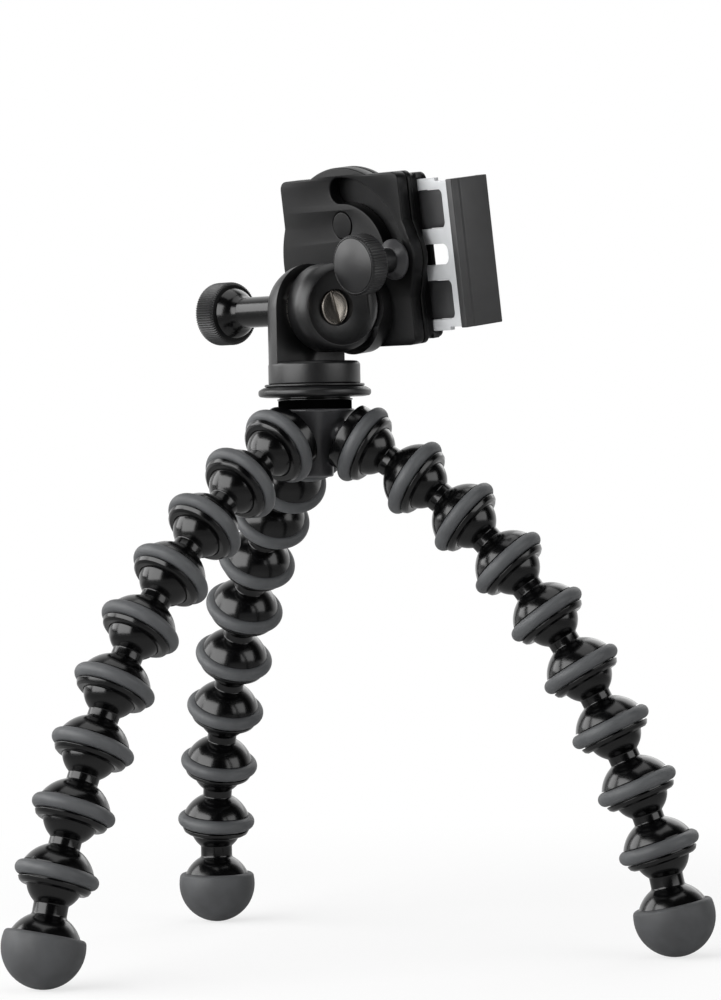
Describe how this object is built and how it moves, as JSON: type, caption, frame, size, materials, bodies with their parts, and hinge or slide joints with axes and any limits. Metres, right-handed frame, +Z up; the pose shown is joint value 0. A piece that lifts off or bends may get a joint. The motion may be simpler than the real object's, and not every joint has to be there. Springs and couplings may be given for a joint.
{
  "type": "phone tripod",
  "caption": "Flexible-leg tripod of ball-jointed links with rubber rings and feet, carrying a tilting head and a swivelling clamp with a sliding jaw for a phone.",
  "frame": {"origin": "on the floor under the hub's vertical axis, where the three rubber feet stand", "axes": "+Z up along the hub's axis; +X from the tilt knob to the moving jaw; the phone's back faces -Y and its screen +Y"},
  "size_m": [0.2066, 0.1886, 0.2358],
  "materials": {
    "black_plastic": "satin moulded black plastic",
    "leg_plastic": "smooth satin black plastic",
    "knob_plastic": "matt black plastic",
    "grey_rubber": "soft dark grey rubber",
    "steel": "turned zinc-plated steel",
    "brass": "turned brass",
    "pale_plastic": "pale grey plastic",
    "window_insert": "dark grey plastic"
  },
  "bodies": {
    "hub": {"hub_body": "black_plastic", "hub_rings": "grey_rubber"},
    "lock_wheel": {"lock_wheel": "knob_plastic", "tripod_screw": "steel", "platform_pad": "grey_rubber"},
    "head": {"head_base": "black_plastic", "thread_insert": "brass", "tilt_washer": "steel"},
    "tilt_knob": {"tilt_knob": "knob_plastic", "tilt_knob_insert": "brass"},
    "tilt": {"tilt_block": "black_plastic", "tilt_bolt": "steel", "back_cover": "black_plastic", "cover_cap": "knob_plastic", "pivot_screw": "steel", "pivot_washer": "steel"},
    "clamp": {"clamp_housing": "black_plastic", "housing_front": "black_plastic", "front_pads": "grey_rubber", "front_screws": "steel", "fixed_jaw": "black_plastic", "fixed_jaw_pad": "grey_rubber", "lock_stud": "steel", "lock_collar": "knob_plastic"},
    "lock_knob": {"lock_knob": "knob_plastic"},
    "slider": {"slider_frame": "pale_plastic", "slider_pads": "window_insert", "moving_jaw": "black_plastic", "moving_jaw_pad": "grey_rubber"},
    "leg_a_link_1": {"leg_a_link_1": "leg_plastic"},
    "leg_a_link_2": {"leg_a_link_2": "leg_plastic"},
    "leg_a_link_3": {"leg_a_link_3": "leg_plastic"},
    "leg_a_link_4": {"leg_a_link_4": "leg_plastic"},
    "leg_a_link_5": {"leg_a_link_5": "leg_plastic"},
    "leg_a_link_6": {"leg_a_link_6": "leg_plastic"},
    "leg_a_link_7": {"leg_a_link_7": "leg_plastic"},
    "leg_a_link_8": {"leg_a_link_8": "leg_plastic"},
    "leg_a_foot": {"leg_a_foot": "leg_plastic", "leg_a_foot_cap": "grey_rubber"},
    "leg_b_link_1": {"leg_b_link_1": "leg_plastic"},
    "leg_b_link_2": {"leg_b_link_2": "leg_plastic"},
    "leg_b_link_3": {"leg_b_link_3": "leg_plastic"},
    "leg_b_link_4": {"leg_b_link_4": "leg_plastic"},
    "leg_b_link_5": {"leg_b_link_5": "leg_plastic"},
    "leg_b_link_6": {"leg_b_link_6": "leg_plastic"},
    "leg_b_link_7": {"leg_b_link_7": "leg_plastic"},
    "leg_b_link_8": {"leg_b_link_8": "leg_plastic"},
    "leg_b_foot": {"leg_b_foot": "leg_plastic", "leg_b_foot_cap": "grey_rubber"},
    "leg_c_link_1": {"leg_c_link_1": "leg_plastic"},
    "leg_c_link_2": {"leg_c_link_2": "leg_plastic"},
    "leg_c_link_3": {"leg_c_link_3": "leg_plastic"},
    "leg_c_link_4": {"leg_c_link_4": "leg_plastic"},
    "leg_c_link_5": {"leg_c_link_5": "leg_plastic"},
    "leg_c_link_6": {"leg_c_link_6": "leg_plastic"},
    "leg_c_link_7": {"leg_c_link_7": "leg_plastic"},
    "leg_c_link_8": {"leg_c_link_8": "leg_plastic"},
    "leg_c_foot": {"leg_c_foot": "leg_plastic", "leg_c_foot_cap": "grey_rubber"}
  },
  "joints": [
    {"name": "head_pan", "type": "hinge", "parent": "hub", "child": "head", "pos_m": [0, 0, 0.17037], "axis": [0, 0, 1], "continuous": true},
    {"name": "head_tilt", "type": "hinge", "parent": "head", "child": "tilt", "pos_m": [0, 0, 0.19278], "axis": [1, 0, 0], "range_deg": [-7, 83]},
    {"name": "clamp_swivel", "type": "hinge", "parent": "tilt", "child": "clamp", "pos_m": [0.0017, 0.01663, 0.20717], "axis": [0, -0.9921, -0.1253], "range_deg": [0, 90]},
    {"name": "jaw_slide", "type": "slide", "parent": "clamp", "child": "slider", "axis": [1, 0, 0], "range_m": [-0.011, 0.024]},
    {"name": "tilt_knob_turn", "type": "hinge", "parent": "head", "child": "tilt_knob", "pos_m": [-0.03, 0, 0.19278], "axis": [-1, 0, 0], "continuous": true},
    {"name": "lock_knob_turn", "type": "hinge", "parent": "clamp", "child": "lock_knob", "pos_m": [0.0234, -0.00153, 0.20488], "axis": [0, -0.9921, -0.1253], "continuous": true},
    {"name": "lock_wheel_turn", "type": "hinge", "parent": "hub", "child": "lock_wheel", "pos_m": [0, 0, 0.16642], "axis": [0, 0, 1], "continuous": true},
    {"name": "leg_a_ball_1", "type": "hinge", "parent": "hub", "child": "leg_a_link_1", "pos_m": [0, -0.0163, 0.15107], "axis": [0.9994, 0.0349, 0], "range_deg": [-28, 19.5]},
    {"name": "leg_a_ball_2", "type": "hinge", "parent": "leg_a_link_1", "child": "leg_a_link_2", "pos_m": [0.00055, -0.03197, 0.14034], "axis": [0.0154, -0.6532, 0.757], "range_deg": [-22.5, 23.5]},
    {"name": "leg_a_ball_3", "type": "hinge", "parent": "leg_a_link_2", "child": "leg_a_link_3", "pos_m": [0.00089, -0.04635, 0.12793], "axis": [-0.9999, -0.0122, 0], "range_deg": [-18.5, 29]},
    {"name": "leg_a_ball_4", "type": "hinge", "parent": "leg_a_link_3", "child": "leg_a_link_4", "pos_m": [0.00105, -0.05957, 0.11428], "axis": [-0.0007, 0.788, -0.6157], "range_deg": [-23.5, 22.5]},
    {"name": "leg_a_ball_5", "type": "hinge", "parent": "leg_a_link_4", "child": "leg_a_link_5", "pos_m": [0.00106, -0.07126, 0.09931], "axis": [0.9999, -0.0105, 0], "range_deg": [-31, 16.5]},
    {"name": "leg_a_ball_6", "type": "hinge", "parent": "leg_a_link_5", "child": "leg_a_link_6", "pos_m": [0.00096, -0.08094, 0.08296], "axis": [-0.0197, -0.9039, 0.4274], "range_deg": [-23, 23.5]},
    {"name": "leg_a_ball_7", "type": "hinge", "parent": "leg_a_link_6", "child": "leg_a_link_7", "pos_m": [0.00078, -0.08905, 0.06578], "axis": [-0.9995, 0.0332, 0], "range_deg": [-20.5, 26.5]},
    {"name": "leg_a_ball_8", "type": "hinge", "parent": "leg_a_link_7", "child": "leg_a_link_8", "pos_m": [0.00054, -0.09626, 0.0482], "axis": [0.042, 0.944, -0.3272], "range_deg": [-24, 23.5]},
    {"name": "leg_a_ball_9", "type": "hinge", "parent": "leg_a_link_8", "child": "leg_a_foot", "pos_m": [0.00026, -0.10247, 0.03025], "axis": [0.9984, -0.0558, 0], "range_deg": [-25.5, 15]},
    {"name": "leg_b_ball_1", "type": "hinge", "parent": "hub", "child": "leg_b_link_1", "pos_m": [-0.01412, 0.00815, 0.15107], "axis": [-0.342, -0.9397, 0], "range_deg": [-23.5, 21]},
    {"name": "leg_b_ball_2", "type": "hinge", "parent": "leg_b_link_1", "child": "leg_b_link_2", "pos_m": [-0.02935, 0.0137, 0.14117], "axis": [-0.5966, 0.2172, 0.7726], "range_deg": [-22.5, 22.5]},
    {"name": "leg_b_ball_3", "type": "hinge", "parent": "leg_b_link_2", "child": "leg_b_link_3", "pos_m": [-0.04315, 0.01872, 0.12911], "axis": [0.342, 0.9397, 0], "range_deg": [-17, 30.5]},
    {"name": "leg_b_ball_4", "type": "hinge", "parent": "leg_b_link_3", "child": "leg_b_link_4", "pos_m": [-0.05548, 0.0232, 0.11537], "axis": [0.7476, -0.2721, -0.6058], "range_deg": [-23, 23]},
    {"name": "leg_b_ball_5", "type": "hinge", "parent": "leg_b_link_4", "child": "leg_b_link_5", "pos_m": [-0.06629, 0.02714, 0.10025], "axis": [-0.342, -0.9397, 0], "range_deg": [-28.5, 19]},
    {"name": "leg_b_ball_6", "type": "hinge", "parent": "leg_b_link_5", "child": "leg_b_link_6", "pos_m": [-0.07594, 0.03065, 0.08426], "axis": [-0.8366, 0.3045, 0.4553], "range_deg": [-23, 23]},
    {"name": "leg_b_ball_7", "type": "hinge", "parent": "leg_b_link_6", "child": "leg_b_link_7", "pos_m": [-0.08407, 0.03361, 0.06734], "axis": [0.342, 0.9397, 0], "range_deg": [-16.5, 31]},
    {"name": "leg_b_ball_8", "type": "hinge", "parent": "leg_b_link_7", "child": "leg_b_link_8", "pos_m": [-0.09017, 0.03583, 0.04949], "axis": [0.9243, -0.3364, -0.1803], "range_deg": [-22, 22]},
    {"name": "leg_b_ball_9", "type": "hinge", "parent": "leg_b_link_8", "child": "leg_b_foot", "pos_m": [-0.09339, 0.037, 0.0308], "axis": [-0.342, -0.9397, 0], "range_deg": [-30, 10.5]},
    {"name": "leg_c_ball_1", "type": "hinge", "parent": "hub", "child": "leg_c_link_1", "pos_m": [0.01412, 0.00815, 0.15107], "axis": [-0.4924, 0.8704, 0], "range_deg": [-26.5, 21]},
    {"name": "leg_c_ball_2", "type": "hinge", "parent": "leg_c_link_1", "child": "leg_c_link_2", "pos_m": [0.02799, 0.016, 0.14074], "axis": [0.5413, 0.3227, 0.7765], "range_deg": [-24, 22]},
    {"name": "leg_c_ball_3", "type": "hinge", "parent": "leg_c_link_2", "child": "leg_c_link_3", "pos_m": [0.04066, 0.02355, 0.12876], "axis": [0.5314, -0.8471, 0], "range_deg": [-15.5, 31.5]},
    {"name": "leg_c_ball_4", "type": "hinge", "parent": "leg_c_link_3", "child": "leg_c_link_4", "pos_m": [0.05163, 0.03043, 0.11486], "axis": [-0.6785, -0.4474, -0.5827], "range_deg": [-22, 23.5]},
    {"name": "leg_c_ball_5", "type": "hinge", "parent": "leg_c_link_4", "child": "leg_c_link_5", "pos_m": [0.06087, 0.03653, 0.09942], "axis": [-0.5693, 0.8221, 0], "range_deg": [-28.5, 19]},
    {"name": "leg_c_ball_6", "type": "hinge", "parent": "leg_c_link_5", "child": "leg_c_link_6", "pos_m": [0.06893, 0.0421, 0.08314], "axis": [0.7287, 0.5295, 0.4343], "range_deg": [-24, 22.5]},
    {"name": "leg_c_ball_7", "type": "hinge", "parent": "leg_c_link_6", "child": "leg_c_link_7", "pos_m": [0.0756, 0.04695, 0.06602], "axis": [0.606, -0.7955, 0], "range_deg": [-20.5, 27]},
    {"name": "leg_c_ball_8", "type": "hinge", "parent": "leg_c_link_7", "child": "leg_c_link_8", "pos_m": [0.08142, 0.05139, 0.04849], "axis": [-0.7414, -0.5918, -0.3163], "range_deg": [-23, 24]},
    {"name": "leg_c_ball_9", "type": "hinge", "parent": "leg_c_link_8", "child": "leg_c_foot", "pos_m": [0.08612, 0.05514, 0.03046], "axis": [-0.6414, 0.7672, 0], "range_deg": [-27.5, 13]}
  ]
}
